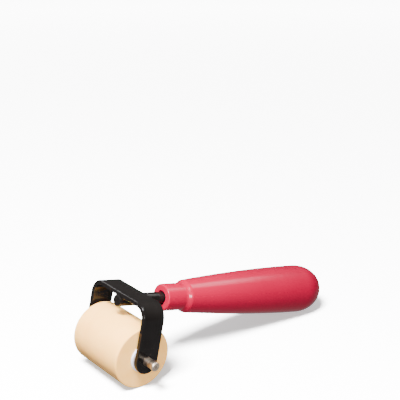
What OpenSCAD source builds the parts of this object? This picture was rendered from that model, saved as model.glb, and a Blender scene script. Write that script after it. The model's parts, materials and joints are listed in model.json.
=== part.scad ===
// Rubber brayer: a soft ink roller in a bent steel yoke, with a moulded handle.
// It lies as it does on a bench, on the roller and the handle's butt.
// Row frame: +X runs from the roller to the butt, +Y along the axle, +Z up, millimetres.
// The sub-parts are drawn square to the yoke first, with the axle's centre as origin:
// +X back along the handle, +Y along the axle, +Z up the legs. settled() then lays them down.

/* [Roller] */
// Diameter of the rubber cover
roller_d = 41; // [36:0.5:43]
// Width of the rubber cover
roller_w = 50.8; // [46:0.2:56]
// Radius of the cover's softened rims
rim_r = 0.9; // [0.3:0.1:2]
// Outside diameter of the tube that the rubber is bonded to
core_d = 16; // [14:0.5:17]
// Inside diameter of that tube
core_bore_d = 12; // [10:0.5:13]
// Diameter of the bushes' flanges
flange_d = 18; // [16:0.5:20]
// Thickness of the bushes' flanges
flange_t = 1.4; // [0.8:0.1:1.6]
// Length of the bushes' sleeves inside the tube
bush_len = 12; // [6:1:20]

/* [Axle] */
// Diameter of the axle inside the roller and the legs
axle_d = 6.35; // [6.2:0.05:8]
// Diameter of the free ends outside the legs
stub_d = 6; // [5:0.1:6.1]
// Length of each free end
stub_len = 9.5; // [4:0.1:12]
// Chamfer on the free ends
stub_chamfer = 0.6; // [0.2:0.1:1]
// Radial running clearance between the bushes and the axle
running_gap = 0.05; // [0.02:0.01:0.1]
// Outside diameter of the thrust washers
washer_d = 16.6; // [12:0.2:18]
// Thickness of the thrust washers
washer_t = 0.8; // [0.5:0.1:1]
// End play left between each bush and its washer
end_play = 0.275; // [0.1:0.025:0.5]

/* [Yoke] */
// Width of the steel strap
strap_w = 15.9; // [13:0.1:18]
// Thickness of the steel strap
strap_t = 3.175; // [2.5:0.025:4]
// Height of the bar's top face over the axle's centre
bar_top = 36.7; // [34:0.1:40]
// How far below the axle the legs' round ends are centred
leg_drop = 0.7; // [0:0.1:2]
// Outside radius of the two bends
bend_r = 10.5; // [6:0.5:12]

/* [Shank] */
// Diameter of the round shank under the bar
shank_d = 7.94; // [7:0.02:8.6]
// How far the shank's front end stands out past the bar
shank_overhang = 1; // [1:0.5:4]
// Depth of the flat that seats the shank against the bar
seat_depth = 0.8; // [0.3:0.1:0.8]
// Length of shank moulded into the handle
tail_len = 62; // [40:1:90]

/* [Handle] */
// Distance from the legs' centre plane to the collar's front face
collar_x = 27; // [20:0.5:40]
// Diameter of the collar
collar_d = 18.3; // [16:0.1:20]
// Length of the collar's straight part
collar_len = 15; // [10:0.5:20]
// Length of the step up from the collar to the grip
step_len = 4.6; // [3:0.2:8]
// Diameter of the grip just behind the step
grip_front_d = 22.5; // [20.5:0.5:26]
// Largest diameter of the grip, near the butt
grip_max_d = 34.6; // [30:0.2:38]
// Length of the handle from the collar's face to the butt's tip
handle_len = 145.3; // [130:0.1:165]
// Length of the domed butt
dome_len = 21.6; // [14:0.1:26]
// Diameter of the recess round the shank in the collar's face
mouth_d = 9.2; // [8.8:0.1:12]
// Depth of that recess
mouth_depth = 5; // [2:0.5:8]

/* [Hidden] */
$fn = 96;

roller_r = roller_d / 2;
axle_r = axle_d / 2;
shank_r = shank_d / 2;
grip_r = grip_max_d / 2;
// The inside of the yoke takes the cover, both flanges, both washers and the end play
inside_w = roller_w + 2 * (flange_t + washer_t + end_play);
yoke_w = inside_w + 2 * strap_t;
// Underside of the bar, and the shank's axis below it, both over the axle's centre
bar_under = bar_top - strap_t;
shank_z = bar_under - shank_r + seat_depth;
// Half width of the flat where the shank meets the bar
seat_half_w = sqrt(shank_r * shank_r - (shank_r - seat_depth) * (shank_r - seat_depth));
seat_end_gap = 0.4;
shank_chamfer = 0.6;
washer_bore_gap = 0.15;

// Retention grooves in the shank's tail
groove_depth = 0.6;
groove_w = 2;
groove_pitch = 7;
groove_count = 3;
groove_start = collar_x + tail_len - groove_count * groove_pitch;

// Weld bead: its reach out along the bar, and where it meets the rod, as an angle
bead_reach = shank_r + 1.1;
bead_angle = 18;
bead_len = strap_w - 1;

// Handle outline: stations along its length, from the collar's face
collar_rim_r = 0.8;
step_start = collar_len;
grip_start = step_start + step_len;
dome_start = handle_len - dome_len;
// How fast the grip swells: 1 is a straight taper, 2 an arc
swell_power = 1.7;
// Flat facets along each stretch of the outline
step_parts = 8;
grip_parts = 14;
dome_parts = 15;
rim_parts = 6;
dome_x = collar_x + dome_start;

// Tilt at which the roller and the butt's dome both touch the bench
function dome_reach(t, along, across) =
    sqrt(pow(dome_len * along, 2) + pow(grip_r * across, 2));
function settle(t, n) =
    n == 0 ? t
    : settle(asin((roller_r + shank_z * cos(t) - dome_reach(t, sin(t), cos(t))) / dome_x), n - 1);
tilt = settle(10, 12);
// Ends of the whole tool along X once laid down, measured from the axle
tool_back = dome_x * cos(tilt) + shank_z * sin(tilt) + dome_reach(tilt, cos(tilt), sin(tilt));
centre_x = (tool_back - roller_r) / 2;

// Points on an arc round [cx, cy] from angle a0 to angle a1
function arc(cx, cy, r, a0, a1, n) =
    [for (i = [0:n]) [cx + r * cos(a0 + (a1 - a0) * i / n), cy + r * sin(a0 + (a1 - a0) * i / n)]];

// Lays a sub-part down on the bench and centres the tool over the origin
module settled() {
    translate([-centre_x, 0, roller_r])
        rotate([0, tilt, 0])
            children();
}

// Turns a half outline of [radius, station] about the X axis
module turned_on_x() {
    rotate([0, 90, 0])
        rotate_extrude()
            children();
}

// Turns a half outline of [radius, station] about the Y axis
module turned_on_y() {
    rotate([-90, 0, 0])
        rotate_extrude()
            children();
}

// Extrudes a section in the Y-Z plane along X, centred
module along_x(length) {
    rotate([90, 0, 90])
        linear_extrude(height = length, center = true)
            children();
}

// Extrudes a section in the X-Z plane along Y, centred
module along_y(length) {
    rotate([90, 0, 0])
        linear_extrude(height = length, center = true)
            children();
}

// Half section of a tube
module ring_section(r_in, r_out, low, high) {
    translate([r_in, low])
        square([r_out - r_in, high - low]);
}

// Soft rubber cover, bonded to the tube
module roller_cover() {
    half_w = roller_w / 2;
    rim_top = arc(roller_r - rim_r, half_w - rim_r, rim_r, 0, 90, rim_parts);
    rim_bottom = arc(roller_r - rim_r, rim_r - half_w, rim_r, -90, 0, rim_parts);
    inner = [[core_d / 2, half_w], [core_d / 2, -half_w]];
    color([0.93, 0.8, 0.64])
        settled()
            turned_on_y()
                polygon(concat(rim_bottom, rim_top, inner));
}

// Rigid tube inside the rubber
module roller_core() {
    color([0.75, 0.75, 0.72])
        settled()
            turned_on_y()
                ring_section(core_bore_d / 2, core_d / 2, -roller_w / 2, roller_w / 2);
}

// Flanged bush: side is -1 on the left and 1 on the right
module bush(side) {
    bore_r = axle_r + running_gap;
    color([0.8, 0.78, 0.82])
        settled()
            mirror([0, side < 0 ? 1 : 0, 0])
                turned_on_y() {
                    ring_section(bore_r, core_bore_d / 2, roller_w / 2 - bush_len, roller_w / 2);
                    ring_section(bore_r, flange_d / 2, roller_w / 2, roller_w / 2 + flange_t);
                }
}

module bush_left() {
    bush(-1);
}

module bush_right() {
    bush(1);
}

// Axle: the full size runs from one leg's outer face to the other's, the free ends are thinner
module axle() {
    stub_end = yoke_w / 2 + stub_len;
    color([0.68, 0.66, 0.63])
        settled()
            rotate([90, 0, 0]) {
                cylinder(h = yoke_w, r = axle_r, center = true);
                cylinder(h = 2 * (stub_end - stub_chamfer), d = stub_d, center = true);
                for (side = [-1, 1])
                    translate([0, 0, side * (stub_end - stub_chamfer / 2)])
                        cylinder(
                            h = stub_chamfer,
                            r1 = stub_d / 2 - (side < 0 ? stub_chamfer : 0),
                            r2 = stub_d / 2 - (side > 0 ? stub_chamfer : 0),
                            center = true
                        );
            }
}

// Thin washer against the inside of one leg
module thrust_washer(side) {
    color([0.72, 0.72, 0.74])
        settled()
            mirror([0, side < 0 ? 1 : 0, 0])
                turned_on_y()
                    ring_section(axle_r + washer_bore_gap, washer_d / 2, inside_w / 2 - washer_t, inside_w / 2);
}

module thrust_washer_left() {
    thrust_washer(-1);
}

module thrust_washer_right() {
    thrust_washer(1);
}

// Straight-sided arch with rounded top corners, reaching below the legs' ends
module arch(half_w, top, corner_r) {
    foot = -strap_w;
    translate([-half_w, foot])
        square([2 * half_w, top - corner_r - foot]);
    translate([corner_r - half_w, foot])
        square([2 * (half_w - corner_r), top - foot]);
    for (side = [-1, 1])
        translate([side * (half_w - corner_r), top - corner_r])
            circle(corner_r);
}

// Steel strap bent into a U, with round leg ends that carry the axle
module yoke() {
    color([0.07, 0.07, 0.08])
        settled()
            difference() {
                intersection() {
                    along_x(strap_w)
                        difference() {
                            arch(yoke_w / 2, bar_top, bend_r);
                            arch(inside_w / 2, bar_under, bend_r - strap_t);
                        }
                    translate([0, 0, -leg_drop])
                        along_y(yoke_w + 2) {
                            circle(strap_w / 2);
                            translate([-strap_w / 2, 0])
                                square([strap_w, bar_top + leg_drop + 1]);
                        }
                }
                rotate([90, 0, 0])
                    cylinder(h = yoke_w + 2, r = axle_r, center = true);
            }
}

// Half outline of the rod, from its chamfered front end to its grooved tail
module rod_outline() {
    front = -strap_w / 2 - shank_overhang;
    tail = collar_x + tail_len;
    front_end = [[0, front], [shank_r - shank_chamfer, front], [shank_r, front + shank_chamfer]];
    tail_end = [[shank_r, tail - shank_chamfer], [shank_r - shank_chamfer, tail], [0, tail]];
    grooves = [
        for (i = [0:groove_count - 1])
            for (p = [[0, 0], [1, 0], [1, 1], [0, 1]])
                [shank_r - p[0] * groove_depth, groove_start + i * groove_pitch + p[1] * groove_w]
    ];
    polygon(concat(front_end, grooves, tail_end));
}

// Round rod under the bar, seated on a shallow flat, with its tail in the handle
module shank() {
    color([0.09, 0.09, 0.1])
        settled()
            difference() {
                translate([0, 0, shank_z])
                    turned_on_x()
                        rod_outline();
                translate([-strap_w / 2 - seat_end_gap, -shank_r, bar_under])
                    cube([strap_w + 2 * seat_end_gap, shank_d, shank_r]);
            }
}

// Fillets of weld metal in the two corners between the rod and the bar
module weld_beads() {
    foot = [shank_r * cos(bead_angle), shank_z + shank_r * sin(bead_angle)];
    color([0.1, 0.1, 0.11])
        settled()
            for (side = [0, 1])
                mirror([0, side, 0])
                    along_x(bead_len)
                        difference() {
                            polygon([
                                [seat_half_w, bar_under],
                                [bead_reach, bar_under],
                                foot,
                                [seat_half_w / 2, shank_z]
                            ]);
                            translate([0, shank_z])
                                circle(shank_r);
                        }
}

// Radius of the grip at station s from the collar's face, and of the step at share t of its length
function grip_radius(s) =
    grip_r - (grip_r - grip_front_d / 2) * pow((dome_start - s) / (dome_start - grip_start), swell_power);
function step_radius(t) =
    collar_d / 2 + (grip_front_d - collar_d) / 4 * (1 - cos(180 * t));
// Outline of the handle behind the collar's rim, round to the butt's tip
step_points = [
    for (i = [0:step_parts - 1])
        [step_radius(i / step_parts), step_start + i * step_len / step_parts]
];
grip_points = [
    for (i = [0:grip_parts - 1])
        let (s = grip_start + i * (dome_start - grip_start) / grip_parts)
            [grip_radius(s), s]
];
dome_points = [
    for (i = [0:dome_parts])
        let (a = 90 * i / dome_parts)
            [grip_r * cos(a), dome_start + dome_len * sin(a)]
];

// Moulded plastic handle, with a recess in its face where the shank comes out
module handle() {
    rim = arc(collar_d / 2 - collar_rim_r, collar_rim_r, collar_rim_r, -90, 0, rim_parts);
    color([0.87, 0.08, 0.27])
        settled()
            translate([0, 0, shank_z])
                turned_on_x()
                    difference() {
                        translate([0, collar_x])
                            polygon(concat([[0, 0]], rim, step_points, grip_points, dome_points));
                        rod_outline();
                        translate([0, collar_x - 1])
                            square([mouth_d / 2, mouth_depth + 1]);
                    }
}

roller_cover();
roller_core();
bush_left();
bush_right();
axle();
thrust_washer_left();
thrust_washer_right();
yoke();
shank();
weld_beads();
handle();
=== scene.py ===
"""Looks of the rubber brayer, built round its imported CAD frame. Metres, +Z up."""
import json
import math

import bmesh
import bpy
from mathutils import Matrix, Vector


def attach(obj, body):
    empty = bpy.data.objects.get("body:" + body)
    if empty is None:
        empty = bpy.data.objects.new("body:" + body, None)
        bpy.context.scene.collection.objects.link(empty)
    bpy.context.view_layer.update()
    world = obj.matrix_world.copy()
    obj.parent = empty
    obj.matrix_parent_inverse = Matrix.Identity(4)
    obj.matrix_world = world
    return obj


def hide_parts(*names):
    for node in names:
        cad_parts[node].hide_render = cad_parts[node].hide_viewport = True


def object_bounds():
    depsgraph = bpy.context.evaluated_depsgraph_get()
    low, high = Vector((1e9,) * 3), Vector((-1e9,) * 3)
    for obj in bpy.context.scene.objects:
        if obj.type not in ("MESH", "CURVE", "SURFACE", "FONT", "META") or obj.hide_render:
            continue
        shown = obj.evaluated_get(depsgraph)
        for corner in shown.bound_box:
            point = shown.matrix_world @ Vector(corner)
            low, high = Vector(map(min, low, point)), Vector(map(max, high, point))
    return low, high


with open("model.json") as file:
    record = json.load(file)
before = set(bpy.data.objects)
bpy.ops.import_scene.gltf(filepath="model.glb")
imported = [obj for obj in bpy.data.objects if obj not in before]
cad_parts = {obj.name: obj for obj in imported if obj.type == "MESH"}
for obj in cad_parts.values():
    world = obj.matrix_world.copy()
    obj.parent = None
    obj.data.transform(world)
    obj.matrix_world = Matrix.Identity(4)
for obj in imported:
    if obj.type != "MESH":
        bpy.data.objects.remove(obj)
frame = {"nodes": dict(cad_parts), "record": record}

CAD_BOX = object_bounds()
MM = 0.001
NEAR = 0.01 * MM  # closer than this, two CAD edges are at the same place
TINY = 0.001 * MM  # a radius below this is a point on the axis

# ---------------------------------------------------------------- the tool's own axes
# Pieces are built square to the yoke: origin on the axle's centre, +X back along the
# handle, +Y along the axle, +Z up the legs. LAY puts them down where the CAD lies.

def joint_centre(name):
    """Where a joint of the record turns, in metres."""
    for joint in frame["record"]["behaviour"]["joints"]:
        if joint["name"] == name:
            return Vector(joint["pos_m"])
    raise ValueError(name)


def bar_tilt():
    """Angle that the flat top of the yoke's bar leans back, from the CAD faces."""
    total = Vector()
    for face in frame["nodes"]["yoke"].data.polygons:
        if face.center.z > 2 * AXLE.z and face.normal.z > 0.9 and abs(face.normal.y) < 0.001:
            total += face.normal * face.area
    return math.atan2(total.x, total.z)


AXLE = joint_centre("roller_spin")
TILT = bar_tilt()
LAY = Matrix.Translation(AXLE) @ Matrix.Rotation(TILT, 4, "Y")
UNLAY = LAY.inverted()


def cad_points(node):
    """A CAD node's vertices in the tool's own axes."""
    return [UNLAY @ v.co for v in frame["nodes"][node].data.vertices]


def span(node):
    """Lowest and highest corner of a CAD node in the tool's own axes."""
    points = cad_points(node)
    low = Vector([min(p[i] for p in points) for i in range(3)])
    high = Vector([max(p[i] for p in points) for i in range(3)])
    return low, high


def rings(node, along, height=0.0):
    """Every (station, radius) at which a turned CAD node has an edge, in order.

    along is "X" or "Y", and height is how far the turning axis lies over the axle."""
    found = set()
    for p in cad_points(node):
        station, side = (p.x, p.y) if along == "X" else (p.y, p.x)
        radius = math.hypot(side, p.z - height)
        found.add((round(station / MM, 2) * MM, round(radius / MM, 2) * MM))
    return sorted(found)


# ---------------------------------------------------------------- sizes from the frame
COVER_HIGH = span("roller_cover")[1]
CORE_HIGH = span("roller_core")[1]
BUSH_LOW, BUSH_HIGH = span("bush_right")
WASHER_LOW, WASHER_HIGH = span("thrust_washer_right")
AXLE_HIGH = span("axle")[1]
YOKE_LOW, YOKE_HIGH = span("yoke")
SHANK_LOW, SHANK_HIGH = span("shank")
HANDLE_LOW, HANDLE_HIGH = span("handle")
BEAD_LOW, BEAD_HIGH = span("weld_beads")

HANDLE_AXIS = (HANDLE_LOW.z + HANDLE_HIGH.z) / 2
SHANK_R = SHANK_HIGH.y
SHANK_FLAT = BEAD_HIGH.z - HANDLE_AXIS
BUSH_BORE = min(r for s, r in rings("bush_right", "Y"))
WASHER_BORE = min(r for s, r in rings("thrust_washer_right", "Y"))
CORE_BORE = min(r for s, r in rings("roller_core", "Y"))
STUB_R = max(r for s, r in rings("axle", "Y") if s > YOKE_HIGH.y + 0.5 * MM)
STRAP_T = YOKE_HIGH.y - WASHER_HIGH.y
STRAP_HALF = YOKE_HIGH.x
LEG_DROP = -YOKE_LOW.z - STRAP_HALF
BAR_FLAT = max(p.y for p in cad_points("yoke") if p.z > YOKE_HIGH.z - NEAR)
BEND_R = YOKE_HIGH.y - BAR_FLAT


# ---------------------------------------------------------------- outlines and meshes
SHARP_FROM = math.radians(50)
ROUND_STEPS = 160
SMALL_STEPS = 96
HANDLE_STEPS = 192


def rounded(points, corners, parts=6):
    """The outline with the corners at the given indices rounded to the given radii."""
    line = []
    for i, point in enumerate(points):
        here = Vector(point)
        if i not in corners:
            line.append(here)
            continue
        back = (Vector(points[i - 1]) - here).normalized()
        on = (Vector(points[(i + 1) % len(points)]) - here).normalized()
        half = back.angle(on) / 2
        centre = here + (back + on).normalized() * corners[i] / math.sin(half)
        reach = corners[i] / math.tan(half)
        start = here + back * reach - centre
        end = here + on * reach - centre
        sweep = math.pi - 2 * half
        for k in range(parts + 1):
            turn = k / parts * sweep
            spoke = start * math.sin(sweep - turn) + end * math.sin(turn)
            line.append(centre + spoke / math.sin(sweep))
    return line


def threaded(points, parts):
    """A centripetal Catmull-Rom curve through the points."""
    line = []
    ends = [points[0] * 2 - points[1]] + points + [points[-1] * 2 - points[-2]]
    for p0, p1, p2, p3 in zip(ends, ends[1:], ends[2:], ends[3:]):
        t1 = math.sqrt((p1 - p0).length)
        t2 = t1 + math.sqrt((p2 - p1).length)
        t3 = t2 + math.sqrt((p3 - p2).length)
        for k in range(parts):
            t = t1 + (t2 - t1) * k / parts
            a1 = p0 * ((t1 - t) / t1) + p1 * (t / t1)
            a2 = p1 * ((t2 - t) / (t2 - t1)) + p2 * ((t - t1) / (t2 - t1))
            a3 = p2 * ((t3 - t) / (t3 - t2)) + p3 * ((t - t2) / (t3 - t2))
            b1 = a1 * ((t2 - t) / t2) + a2 * (t / t2)
            b2 = a2 * ((t3 - t) / (t3 - t1)) + a3 * ((t - t1) / (t3 - t1))
            line.append(b1 * ((t2 - t) / (t2 - t1)) + b2 * ((t - t1) / (t2 - t1)))
    line.append(points[-1])
    return line


def turned(outline, along, steps, height=0.0, closed=False):
    """Turns an outline of (station, radius) about the X or Y axis into a mesh skin.

    closed joins the outline's last point to its first, as a tube needs."""
    bm = bmesh.new()

    def place(station, radius, angle):
        side, up = radius * math.sin(angle), radius * math.cos(angle) + height
        return (station, side, up) if along == "X" else (side, station, up)

    loops = []
    for station, radius in outline:
        turns = [2 * math.pi * i / steps for i in range(steps if radius > TINY else 1)]
        loops.append([bm.verts.new(place(station, radius, angle)) for angle in turns])
    for a, b in zip(loops, loops[1:] + (loops[:1] if closed else [])):
        for i in range(steps):
            j = (i + 1) % steps
            corners = [a[i % len(a)], a[j % len(a)], b[j % len(b)], b[i % len(b)]]
            kept = [v for k, v in enumerate(corners) if v not in corners[:k]]
            if len(kept) > 2:
                bm.faces.new(kept)
    return bm


def emit(name, bm, body, material, replaced):
    """Makes a finished mesh piece from bm, which is in the tool's own axes."""
    bm.transform(LAY)
    bmesh.ops.recalc_face_normals(bm, faces=bm.faces)
    for face in bm.faces:
        face.smooth = True
    mesh = bpy.data.meshes.new(name)
    bm.to_mesh(mesh)
    bm.free()
    mesh.set_sharp_from_angle(angle=SHARP_FROM)
    mesh.materials.append(material)
    piece = bpy.data.objects.new(name, mesh)
    bpy.context.collection.objects.link(piece)
    flats = piece.modifiers.new("even_flats", "WEIGHTED_NORMAL")
    flats.keep_sharp = True
    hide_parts(*replaced)
    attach(piece, body)
    return piece


# ---------------------------------------------------------------- materials
NOISE_LOW, NOISE_HIGH = 0.3, 0.7  # most of a noise texture's values lie between these
WHITE = (1.0, 1.0, 1.0)


class Finish:
    """A node material in the making. Its textures are read in the tool's own axes."""

    def __init__(self, name):
        self.material = bpy.data.materials.new(name)
        self.material.use_nodes = True
        self.tree = self.material.node_tree
        self.shader = self.tree.nodes["Principled BSDF"]
        where = self.node("TexCoord")
        axes = self.node("Mapping", {"Vector": where.outputs["Object"]}, vector_type="TEXTURE")
        axes.inputs["Location"].default_value = AXLE
        axes.inputs["Rotation"].default_value = (0.0, TILT, 0.0)
        self.place = axes.outputs["Vector"]

    def node(self, kind, sockets=None, **settings):
        """Adds a node, sets it up, and links or sets the sockets named."""
        node = self.tree.nodes.new("ShaderNode" + kind)
        for key, value in settings.items():
            setattr(node, key, value)
        self.put(node, sockets or {})
        return node

    def put(self, node, sockets):
        """Links or sets a node's input sockets."""
        for key, value in sockets.items():
            if isinstance(value, bpy.types.NodeSocket):
                self.tree.links.new(value, node.inputs[key])
            else:
                node.inputs[key].default_value = value

    def stretched(self, scale):
        """The place on the piece with each axis multiplied, to draw a texture out."""
        return self.node("Mapping", {"Vector": self.place, "Scale": scale}).outputs["Vector"]

    def noise(self, size, detail=3.0, rough=0.55, place=None):
        """Noise from 0 to 1 with blotches of about the given size in metres."""
        sockets = {"Vector": place or self.place, "Scale": 1 / size}
        sockets.update({"Detail": detail, "Roughness": rough})
        return self.node("TexNoise", sockets).outputs["Fac"]

    def about_axis(self, along, height=0.0):
        """Station along the axis and radius from it, as an X-Y place for round textures."""
        parts = self.node("SeparateXYZ", {"Vector": self.place}).outputs
        side, station = (parts["Y"], parts["X"]) if along == "X" else (parts["X"], parts["Y"])
        up = self.node("Math", {0: parts["Z"], 1: height}, operation="SUBTRACT").outputs["Value"]
        flat = self.node("CombineXYZ", {"X": side, "Y": up}).outputs["Vector"]
        radius = self.node("VectorMath", {0: flat}, operation="LENGTH").outputs["Value"]
        return self.node("CombineXYZ", {"X": station, "Y": radius}).outputs["Vector"]

    def ramp(self, factor, *stops):
        """A colour ramp through (position, colour) stops."""
        node = self.node("ValToRGB", {"Fac": factor})
        ramp = node.color_ramp
        for i, (position, colour) in enumerate(stops):
            stop = ramp.elements[i] if i < 2 else ramp.elements.new(position)
            stop.position = position
            stop.color = (*colour, 1.0)
        return node.outputs["Color"]

    def shades(self, factor, dark, light):
        """A colour that runs from dark to light over most of the factor's values."""
        return self.ramp(factor, (NOISE_LOW, dark), (NOISE_HIGH, light))

    def times(self, a, b):
        """One colour multiplied by another."""
        node = self.node("Mix", data_type="RGBA", blend_type="MULTIPLY")
        factor, first, second = (node.inputs[k] for k in (0, 6, 7))
        factor.default_value = 1.0
        self.tree.links.new(a, first)
        self.tree.links.new(b, second)
        return node.outputs[2]

    def between(self, factor, low, high):
        """A number that runs from low to high over most of the factor's values."""
        sockets = {"Value": factor, "From Min": NOISE_LOW, "From Max": NOISE_HIGH}
        sockets.update({"To Min": low, "To Max": high})
        return self.node("MapRange", sockets).outputs["Result"]

    def bump(self, height, depth, under=None):
        """A bump of the given depth in metres, over another bump if there is one."""
        sockets = {"Height": height, "Distance": depth, "Strength": 1.0}
        if under is not None:
            sockets["Normal"] = under
        return self.node("Bump", sockets).outputs["Normal"]

    def finish(self, **sockets):
        """Sets the shader's own sockets, named with underscores for spaces."""
        self.put(self.shader, {key.replace("_", " "): value for key, value in sockets.items()})
        return self.material


def gum_rubber():
    """Ground gum rubber: matt tan with faint grinding rings, cloudy patches and fine specks."""
    f = Finish("gum_rubber")
    clouds = f.noise(9 * MM, 4.0)
    specks = f.noise(0.5 * MM, 2.0, 0.7)
    ground = f.noise(0.22 * MM, 2.0, place=f.about_axis("Y"))
    tone = f.shades(clouds, (0.90, 0.46, 0.11), (0.95, 0.51, 0.15))
    dots = f.ramp(specks, (0.66, WHITE), (0.78, (0.90, 0.82, 0.72)))
    under = f.bump(ground, 0.012 * MM)
    return f.finish(
        Base_Color=f.times(tone, dots),
        Roughness=f.between(clouds, 0.52, 0.64),
        Normal=f.bump(specks, 0.03 * MM, under),
        Specular_IOR_Level=0.2,
        Subsurface_Weight=0.18,
        Subsurface_Radius=(1.0, 0.55, 0.3),
        Subsurface_Scale=2.0 * MM,
    )


def black_enamel():
    """Baked gloss enamel over strap steel: orange peel, slow waves and a few dull patches."""
    f = Finish("black_enamel")
    peel = f.noise(1.3 * MM, 2.0)
    waves = f.noise(11 * MM, 1.0)
    dust = f.noise(0.35 * MM, 2.0, 0.6)
    tone = f.shades(waves, (0.0036, 0.0030, 0.0028), (0.0052, 0.0044, 0.0041))
    under = f.bump(waves, 0.10 * MM)
    peeled = f.bump(peel, 0.012 * MM, under)
    return f.finish(
        Base_Color=tone,
        Roughness=f.between(dust, 0.09, 0.15),
        Normal=f.bump(dust, 0.002 * MM, peeled),
        Specular_IOR_Level=0.2,
    )


def crimson_plastic():
    """Moulded plastic: even crimson and softly glossy, with slow waves and a fine grain."""
    f = Finish("crimson_plastic")
    flow = f.noise(22 * MM, 2.0, place=f.stretched((0.6, 1.0, 1.0)))
    grain = f.noise(0.7 * MM, 1.0)
    haze = f.noise(5 * MM, 3.0)
    under = f.bump(flow, 0.06 * MM)
    return f.finish(
        Base_Color=f.shades(flow, (0.250, 0.0002, 0.020), (0.268, 0.0003, 0.022)),
        Roughness=f.between(haze, 0.20, 0.24),
        Normal=f.bump(grain, 0.001 * MM, under),
        Specular_IOR_Level=0.18,
    )


def bright_steel():
    """Turned bright bar: tool rings and darker bands about the axle, a little warm tarnish,
    and duller sawn ends."""
    f = Finish("bright_steel")
    tool_rings = f.noise(0.10 * MM, 3.0, place=f.about_axis("Y"))
    tarnish = f.noise(2.4 * MM, 4.0)
    station = f.node("SeparateXYZ", {"Vector": f.place}).outputs["Y"]
    beyond = f.node("Math", {0: station}, operation="ABSOLUTE").outputs["Value"]
    inner = AXLE_HIGH.y - 0.25 * MM
    outer = inner + 0.1 * MM
    sawn = f.node("MapRange", {"Value": beyond, "From Min": inner, "From Max": outer})
    rough = f.node("MapRange", {"Value": sawn.outputs["Result"], "To Max": 0.55})
    f.put(rough, {"To Min": f.between(tarnish, 0.28, 0.40)})
    tone = f.shades(tarnish, (0.42, 0.34, 0.27), (0.66, 0.56, 0.46))
    bands = f.noise(0.8 * MM, 1.0, place=f.about_axis("Y"))
    stain = f.ramp(bands, (0.35, (0.5, 0.48, 0.46)), (0.65, WHITE))
    return f.finish(
        Base_Color=f.times(tone, stain),
        Metallic=1.0,
        Roughness=rough.outputs["Result"],
        Normal=f.bump(tool_rings, 0.004 * MM),
    )


def core_steel():
    """Plain drawn steel tube, with lines along its length and a dull oxide."""
    f = Finish("core_steel")
    lines = f.noise(0.25 * MM, 2.0, place=f.stretched((1.0, 0.03, 1.0)))
    oxide = f.noise(3 * MM, 4.0)
    return f.finish(
        Base_Color=f.shades(oxide, (0.30, 0.29, 0.27), (0.48, 0.47, 0.45)),
        Metallic=1.0,
        Roughness=f.between(oxide, 0.34, 0.5),
        Normal=f.bump(lines, 0.006 * MM),
    )


def zinc_steel():
    """Zinc plating, with its soft bluish spangle."""
    f = Finish("zinc_steel")
    cells = f.node("TexVoronoi", {"Vector": f.place, "Scale": 1 / (1.4 * MM)})
    spangle = cells.outputs["Distance"]
    return f.finish(
        Base_Color=f.ramp(spangle, (0.1, (0.52, 0.54, 0.58)), (0.7, (0.66, 0.67, 0.70))),
        Metallic=1.0,
        Roughness=f.between(spangle, 0.30, 0.42),
        Normal=f.bump(f.noise(0.3 * MM), 0.005 * MM),
    )


def bush_nylon():
    """Natural moulded nylon: milky, faintly violet, with a fine moulded grain."""
    f = Finish("bush_nylon")
    milk = f.noise(4 * MM, 3.0)
    grain = f.noise(0.3 * MM, 2.0)
    return f.finish(
        Base_Color=f.shades(milk, (0.56, 0.54, 0.64), (0.66, 0.64, 0.74)),
        Roughness=f.between(grain, 0.36, 0.48),
        Normal=f.bump(grain, 0.008 * MM),
        Subsurface_Weight=0.25,
        Subsurface_Radius=(1.0, 0.95, 1.0),
        Subsurface_Scale=1.2 * MM,
    )


def floor_paper():
    """White background paper. It glows a little by the tool, and more where no light falls."""
    f = Finish("floor_paper")
    tooth = f.noise(1.5 * MM, 2.0)
    away = f.node("VectorMath", {0: f.place}, operation="LENGTH").outputs["Value"]
    glow = f.node("MapRange", {"Value": away, "From Min": GLOW_FROM, "From Max": GLOW_TO})
    f.put(glow, {"To Min": FLOOR_GLOW, "To Max": FAR_GLOW})
    return f.finish(
        Base_Color=f.shades(tooth, (0.84, 0.84, 0.84), (0.87, 0.87, 0.87)),
        Roughness=0.9,
        Specular_IOR_Level=0.0,
        Emission_Color=(1.0, 1.0, 1.0, 1.0),
        Emission_Strength=glow.outputs["Result"],
    )


# ---------------------------------------------------------------- roller
def tube_outline(high, inner, outer, outer_rim, inner_rim):
    """A tube's outline, centred on the yoke, with its outer and inner rims rounded."""
    corners = [(-high, inner), (-high, outer), (high, outer), (high, inner)]
    return rounded(corners, {0: inner_rim, 1: outer_rim, 2: outer_rim, 3: inner_rim}, 7)


def roller_cover():
    """Soft cover with ground rims."""
    outline = tube_outline(COVER_HIGH.y, CORE_HIGH.z, COVER_HIGH.z, 1.1 * MM, 0.15 * MM)
    bm = turned(outline, "Y", ROUND_STEPS, closed=True)
    emit("roller_cover_rubber", bm, "roller", gum_rubber(), ["roller_cover"])


def roller_core():
    """Drawn tube with its ends deburred."""
    outline = tube_outline(CORE_HIGH.y, CORE_BORE, CORE_HIGH.z, 0.3 * MM, 0.3 * MM)
    bm = turned(outline, "Y", SMALL_STEPS, closed=True)
    emit("roller_core_tube", bm, "roller", core_steel(), ["roller_core"])


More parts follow.
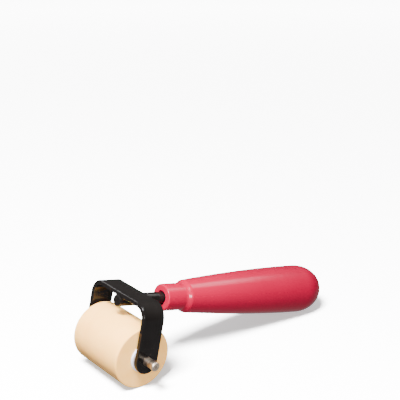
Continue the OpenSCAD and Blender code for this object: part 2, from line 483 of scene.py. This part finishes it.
def bush(side, name, node, material):
    """Flanged bush: its sleeve sits in the tube, its flange covers the tube's end."""
    inner, cover_end, outer = BUSH_LOW.y, COVER_HIGH.y, BUSH_HIGH.y
    corners = [
        (inner, BUSH_BORE), (inner, CORE_BORE), (cover_end, CORE_BORE),
        (cover_end, BUSH_HIGH.z), (outer, BUSH_HIGH.z), (outer, BUSH_BORE),
    ]
    rims = {0: 0.2 * MM, 1: 0.4 * MM, 3: 0.12 * MM, 4: 0.4 * MM, 5: 0.3 * MM}
    outline = [(side * s, r) for s, r in rounded(corners, rims, 5)]
    bm = turned(outline, "Y", ROUND_STEPS, closed=True)
    emit(name, bm, "roller", material, [node])


# ---------------------------------------------------------------- axle and washers
def axle():
    """Bright rod with its shoulders, chamfers and a faintly dished face at each end."""
    chamfer, dish = 0.6 * MM, 0.12 * MM
    leg, end = YOKE_HIGH.y, AXLE_HIGH.y
    corners = [
        (0.0, AXLE_HIGH.z), (leg, AXLE_HIGH.z), (leg, STUB_R), (end - chamfer, STUB_R),
        (end, STUB_R - chamfer), (end - dish, STUB_R * 0.35), (end - dish, 0.0),
    ]
    half = rounded(corners, {1: 0.12 * MM, 3: 0.15 * MM, 4: 0.15 * MM, 5: 0.5 * MM}, 4)[1:]
    outline = [(-s, r) for s, r in reversed(half)] + [(s, r) for s, r in half]
    bm = turned(outline, "Y", SMALL_STEPS)
    emit("axle_rod", bm, "frame", bright_steel(), ["axle"])


def thrust_washer(side, name, node, material):
    """Punched washer: one face has soft rims, the other stays crisp."""
    low, high = WASHER_LOW.y, WASHER_HIGH.y
    outer = WASHER_HIGH.z
    corners = [(low, WASHER_BORE), (low, outer), (high, outer), (high, WASHER_BORE)]
    outline = rounded(corners, {0: 0.2 * MM, 1: 0.25 * MM, 2: 0.06 * MM, 3: 0.06 * MM}, 4)
    bm = turned([(side * s, r) for s, r in outline], "Y", SMALL_STEPS, closed=True)
    emit(name, bm, "frame", material, [node])


# ---------------------------------------------------------------- yoke
EDGE_R = 0.55 * MM
HOLE_EDGE_R = 0.25 * MM
MID_R = BEND_R - STRAP_T / 2
BEND_LEN = MID_R * math.pi / 2
HOLE_AT = BAR_FLAT + BEND_LEN + YOKE_HIGH.z - BEND_R
END_AT = HOLE_AT + LEG_DROP
HOLE_R = AXLE_HIGH.z + 0.02 * MM


def bent(s, x, n):
    """Folds a point of the flat blank: s along it, x across it, n out from its middle."""
    side = 1 if s >= 0 else -1
    run = abs(s) - BAR_FLAT
    if run <= 0:
        return Vector((x, s, YOKE_HIGH.z - STRAP_T / 2 + n))
    turn = min(run / MID_R, math.pi / 2)
    y = BAR_FLAT + (MID_R + n) * math.sin(turn)
    z = YOKE_HIGH.z - BEND_R + (MID_R + n) * math.cos(turn) - max(run - BEND_LEN, 0)
    return Vector((x, side * y, z))


def edge_steps(radius, parts=5):
    """(inset, height) pairs that round a strap's edge over, from one face to the other."""
    over = []
    for k in range(parts + 1):
        a = math.pi / 2 * k / parts
        over.append((radius * (1 - math.sin(a)), STRAP_T / 2 - radius + radius * math.cos(a)))
    return over + [(inset, -n) for inset, n in reversed(over)]


def blank_stations():
    """Stations of the blank's long sides, with many across each bend."""
    cut = HOLE_AT - HOLE_R - 3 * MM
    bend = [BAR_FLAT + BEND_LEN * k / 20 for k in range(21)]
    half = bend + [(bend[-1] + cut) / 2, cut]
    bar = [BAR_FLAT * k / 4 for k in range(-3, 4)]
    return [-s for s in reversed(half)] + bar + half


def rim_band(bm, line, inward, steps):
    """Skins the rounded edge along a closed line of the blank and returns its loops."""
    loops = []
    for inset, n in steps:
        points = [(s + ds * inset, x + dx * inset, n) for (s, x), (ds, dx) in zip(line, inward)]
        loops.append([bm.verts.new(p) for p in points])
    for a, b in zip(loops, loops[1:]):
        for i in range(len(line)):
            j = (i + 1) % len(line)
            bm.faces.new((a[i], a[j], b[j], b[i]))
    return loops


def fill_between(bm, outer, inner):
    """Fills the flat ground between an outer loop of vertices and a hole's loop."""
    edges = []
    for loop in (outer, inner):
        for v, w in zip(loop, loop[1:] + loop[:1]):
            edges.append(bm.edges.get((v, w)) or bm.edges.new((v, w)))
    bmesh.ops.triangle_fill(bm, use_beauty=True, use_dissolve=False, edges=edges)


def blank():
    """The strap's flat blank: round ends, rounded edges and a chamfered hole in each end."""
    bm = bmesh.new()
    stations = blank_stations()
    count = len(stations)
    arc = [math.pi * k / 36 for k in range(37)]
    line = [(s, STRAP_HALF) for s in stations]
    inward = [(0.0, -1.0)] * count
    line += [(END_AT + STRAP_HALF * math.sin(a), STRAP_HALF * math.cos(a)) for a in arc]
    inward += [(-math.sin(a), -math.cos(a)) for a in arc]
    line += [(-s, -x) for s, x in line]
    inward += [(-ds, -dx) for ds, dx in inward]
    outer = rim_band(bm, line, inward, edge_steps(EDGE_R))
    turn = [2 * math.pi * k / 48 for k in range(48)]
    spokes = [(math.cos(a), math.sin(a)) for a in turn]
    holes = []
    for side in (1, -1):
        ring = [(side * HOLE_AT + HOLE_R * c, HOLE_R * d) for c, d in spokes]
        holes.append(rim_band(bm, ring, spokes, edge_steps(HOLE_EDGE_R, 3)))
    half = len(line) // 2
    for face in (0, -1):
        loop = outer[face]
        across = loop[half:half + count][::-1]
        for i in range(count - 1):
            bm.faces.new((loop[i], loop[i + 1], across[i + 1], across[i]))
        fill_between(bm, loop[count - 1:half + 1], holes[0][face])
        fill_between(bm, loop[half + count - 1:] + loop[:1], holes[1][face])
    return bm


def yoke(material):
    """The blank folded into a U round the roller."""
    bm = blank()
    for v in bm.verts:
        v.co = bent(*v.co)
    return emit("yoke_strap", bm, "frame", material, ["yoke"])


# ---------------------------------------------------------------- shank and weld
def shank(material):
    """Round rod with a chamfered front end, filed flat where the bar sits on it."""
    chamfer, gap, steps = 0.6 * MM, 0.4 * MM, SMALL_STEPS
    front, tail = SHANK_LOW.x, SHANK_HIGH.x
    nose = [(front, 0.0), (front, SHANK_R - chamfer), (front + chamfer, SHANK_R)]
    nose = rounded(nose, {1: 0.3 * MM}, 4)
    ends = (-STRAP_HALF - gap, STRAP_HALF + gap)
    seat = [(ends[0], SHANK_R), (ends[0], SHANK_R), (ends[1], SHANK_R), (ends[1], SHANK_R)]
    back = [(tail - chamfer, SHANK_R), (tail, SHANK_R - chamfer), (tail, 0.0)]
    bm = turned(nose + seat + back, "X", steps, HANDLE_AXIS)
    bm.verts.ensure_lookup_table()
    first = 1 + steps * len(nose)
    for v in bm.verts[first:first + 2 * steps]:
        v.co.z = min(v.co.z, HANDLE_AXIS + SHANK_FLAT)
    emit("shank_rod", bm, "frame", material, ["shank"])


def weld_beads(material):
    """A rippled fillet of weld on each side of the rod, under the same enamel."""
    ripple, pitch, bulge = 0.13 * MM, 1.25 * MM, 0.3 * MM
    half = BEAD_HIGH.x
    low = BEAD_LOW.z - HANDLE_AXIS
    foot = Vector((math.sqrt(SHANK_R ** 2 - low ** 2), low))
    reach = Vector((BEAD_HIGH.y, SHANK_FLAT))
    corner = Vector((SHANK_R * 0.6, SHANK_FLAT * 0.75))
    chord = reach - foot
    out = Vector((chord.y, -chord.x)).normalized()
    count, parts = 120, 8
    bm = bmesh.new()
    for side in (1, -1):
        loops = []
        for i in range(count + 1):
            u = -1 + 2 * i / count
            x = half * u
            size = max(1 - u ** 8, 0.0) ** 0.5
            loop = []
            for k in range(parts + 1):
                arch = math.sin(math.pi * k / parts)
                lag = 0.5 * MM * arch * size
                wave = ripple * math.sin(2 * math.pi * (x - lag) / pitch)
                skin = foot.lerp(reach, k / parts) + out * arch * (bulge + wave)
                p = corner.lerp(skin, max(size, 0.05))
                loop.append(bm.verts.new((x, side * p.x, HANDLE_AXIS + p.y)))
            loop.append(bm.verts.new((x, side * corner.x, HANDLE_AXIS + corner.y)))
            loops.append(loop)
        for a, b in zip(loops, loops[1:]):
            for k in range(len(a)):
                m = (k + 1) % len(a)
                bm.faces.new((a[k], a[m], b[m], b[k]))
        bm.faces.new(loops[0])
        bm.faces.new(loops[-1])
    emit("weld_bead_pair", bm, "frame", material, ["weld_beads"])


# ---------------------------------------------------------------- handle
def handle():
    """One moulding: recess round the rod, collar, soft step, swelling grip and domed butt."""
    edges = rings("handle", "X", HANDLE_AXIS)
    front, tip = HANDLE_LOW.x, HANDLE_HIGH.x
    collar_r = max(r for s, r in edges if s < front + 2 * MM)
    collar_end = max(s for s, r in edges if abs(r - collar_r) < 2 * NEAR)
    mouth_r = max(r for s, r in edges if r < collar_r * 0.7 and s < front + NEAR)
    mouth_floor = min(s for s, r in edges if abs(r - mouth_r) < 2 * NEAR and s > front + MM)
    tail = SHANK_HIGH.x
    face = [
        (tail, 0.0), (tail, SHANK_R), (mouth_floor, SHANK_R), (mouth_floor, mouth_r),
        (front, mouth_r), (front, collar_r), (collar_end, collar_r),
    ]
    face = rounded(face, {3: 0.4 * MM, 4: 0.45 * MM, 5: 1.1 * MM}, 8)[:-1]
    outer = {}  # the skin's radius at each station, without the shank's socket inside it
    for s, r in edges:
        if s > collar_end - NEAR and (r > collar_r - NEAR or s > 0.8 * tip):
            outer[s] = max(r, outer.get(s, 0.0))
    knots = [Vector(p) for p in sorted(outer.items())]
    lead = Vector((collar_end - 2 * MM, collar_r))
    swell = threaded([lead] + knots, 4)[4:]
    bm = turned(face + swell, "X", HANDLE_STEPS, HANDLE_AXIS)
    emit("handle_moulding", bm, "frame", crimson_plastic(), ["handle"])


nylon, zinc, enamel = bush_nylon(), zinc_steel(), black_enamel()
roller_cover()
roller_core()
bush(-1, "bush_left_flanged", "bush_left", nylon)
bush(1, "bush_right_flanged", "bush_right", nylon)
axle()
thrust_washer(-1, "thrust_washer_left_punched", "thrust_washer_left", zinc)
thrust_washer(1, "thrust_washer_right_punched", "thrust_washer_right", zinc)
strap = yoke(enamel)
shank(enamel)
weld_beads(enamel)
handle()


# ---------------------------------------------------------------- stage
CAMERA_FROM_AXLE = Vector((-0.3176, -0.4976, 0.3055))
CAMERA_TURN = math.radians(-37.62)
CAMERA_PITCH = math.radians(19.29)
CAMERA_LENS = 90.0
CAMERA_SENSOR = 36.0

FLOOR_GLOW = 0.75
FAR_GLOW = 9.0
GLOW_FROM, GLOW_TO = 0.25, 1.6  # the glow grows between these distances from the axle
FLOOR_RADIUS = 6.0
FLOOR_STEPS = 96
SKY_ABOVE = 0.45
SKY_LEVEL = 0.10
SKY_BELOW = 0.45


def set_camera():
    """Looks at the tool as the photograph does, from the roller's end."""
    data = bpy.data.cameras.new("camera")
    data.lens = CAMERA_LENS
    data.sensor_width = CAMERA_SENSOR
    data.clip_start = 0.02
    data.clip_end = 100.0
    camera = bpy.data.objects.new("camera", data)
    camera.location = AXLE + CAMERA_FROM_AXLE
    camera.rotation_euler = (math.pi / 2 - CAMERA_PITCH, 0.0, CAMERA_TURN)
    bpy.context.collection.objects.link(camera)
    bpy.context.scene.camera = camera


def lay_floor():
    """A wide sheet of white paper where the tool stands, turned up far away all round.

    Only the camera sees it: the tool takes its bounce light from the sky's lower half."""
    bm = bmesh.new()
    sweep = [(0.0, 0.0), (0.8, 0.0), (0.92, 0.02), (0.98, 0.08), (1.0, 0.2), (1.0, 0.8)]
    loops = []
    for out, up in sweep:
        count = FLOOR_STEPS if out else 1
        turns = [2 * math.pi * i / FLOOR_STEPS for i in range(count)]
        ring = [(out * math.cos(a), out * math.sin(a), up) for a in turns]
        loops.append([bm.verts.new(Vector(p) * FLOOR_RADIUS) for p in ring])
    for a, b in zip(loops, loops[1:]):
        for i in range(FLOOR_STEPS):
            j = (i + 1) % FLOOR_STEPS
            bm.faces.new((a[i], b[i], b[j], a[j]) if len(a) > 1 else (a[0], b[i], b[j]))
    mesh = bpy.data.meshes.new("floor")
    bm.to_mesh(mesh)
    bm.free()
    mesh.materials.append(floor_paper())
    floor = bpy.data.objects.new("floor", mesh)
    floor.location.z = CAD_BOX[0][2]
    bpy.context.collection.objects.link(floor)
    floor.visible_glossy = False
    floor.visible_diffuse = False
    floor.visible_shadow = False
    return floor


def set_sky():
    """Soft light from above and some bounce from below, with a dim band between them."""
    world = bpy.data.worlds.new("studio")
    world.use_nodes = True
    tree = world.node_tree
    background = tree.nodes["Background"]
    direction = tree.nodes.new("ShaderNodeTexCoord")
    parts = tree.nodes.new("ShaderNodeSeparateXYZ")
    height = tree.nodes.new("ShaderNodeMapRange")
    height.inputs["From Min"].default_value = -1.0
    levels = tree.nodes.new("ShaderNodeValToRGB")
    stops = ((-0.35, SKY_BELOW), (-0.1, SKY_LEVEL), (0.3, SKY_LEVEL), (0.8, SKY_ABOVE))
    for i, (rise, grey) in enumerate(stops):
        place = (rise + 1) / 2
        stop = levels.color_ramp.elements[i] if i < 2 else levels.color_ramp.elements.new(place)
        stop.position = place
        stop.color = (grey, grey, grey, 1.0)
    tree.links.new(direction.outputs["Generated"], parts.inputs["Vector"])
    tree.links.new(parts.outputs["Z"], height.inputs["Value"])
    tree.links.new(height.outputs["Result"], levels.inputs["Fac"])
    tree.links.new(levels.outputs["Color"], background.inputs["Color"])
    bpy.context.scene.world = world


def softbox(name, turn, rise, distance, size, power, aim=(0.0, 0.0, 0.03)):
    """A square area light aimed at the tool, placed by two angles in degrees.

    turn is its compass angle, 0 at +X and 90 at +Y. rise is its height over the floor."""
    data = bpy.data.lights.new(name, "AREA")
    data.shape = "RECTANGLE"
    data.size = data.size_y = size
    data.energy = power
    light = bpy.data.objects.new(name, data)
    a, e = math.radians(turn), math.radians(rise)
    away = Vector((math.cos(a) * math.cos(e), math.sin(a) * math.cos(e), math.sin(e)))
    light.location = Vector(aim) + away * distance
    light.rotation_euler = away.to_track_quat("Z", "Y").to_euler()
    light.visible_camera = False
    bpy.context.collection.objects.link(light)
    return light


def share_light(light, state, *pieces):
    """Says which pieces a light falls on: with INCLUDE these alone, with EXCLUDE all but
    these. The pieces it misses still cast their shadows."""
    chosen = bpy.data.collections.new(light.name + "_receivers")
    for i, piece in enumerate(pieces):
        chosen.objects.link(piece)
        chosen.collection_objects[i].light_linking.link_state = state
    light.light_linking.receiver_collection = chosen


set_camera()
floor = lay_floor()
set_sky()
key = softbox("key", turn=212.0, rise=65.0, distance=0.38, size=0.12, power=9.6, aim=AXLE)
front = softbox("front", turn=246.0, rise=23.0, distance=0.5, size=0.09, power=4.3, aim=AXLE)
back = softbox("back", turn=-10.0, rise=52.0, distance=1.0, size=0.40, power=7.0)
rim = softbox("rim", turn=125.0, rise=24.0, distance=1.0, size=0.2, power=4.0)
wash = softbox("floor_wash", turn=205.0, rise=60.0, distance=1.4, size=0.42, power=370.0)
for light in (key, front, rim):
    share_light(light, "EXCLUDE", floor)
share_light(back, "EXCLUDE", floor, strap)
share_light(wash, "INCLUDE", floor)
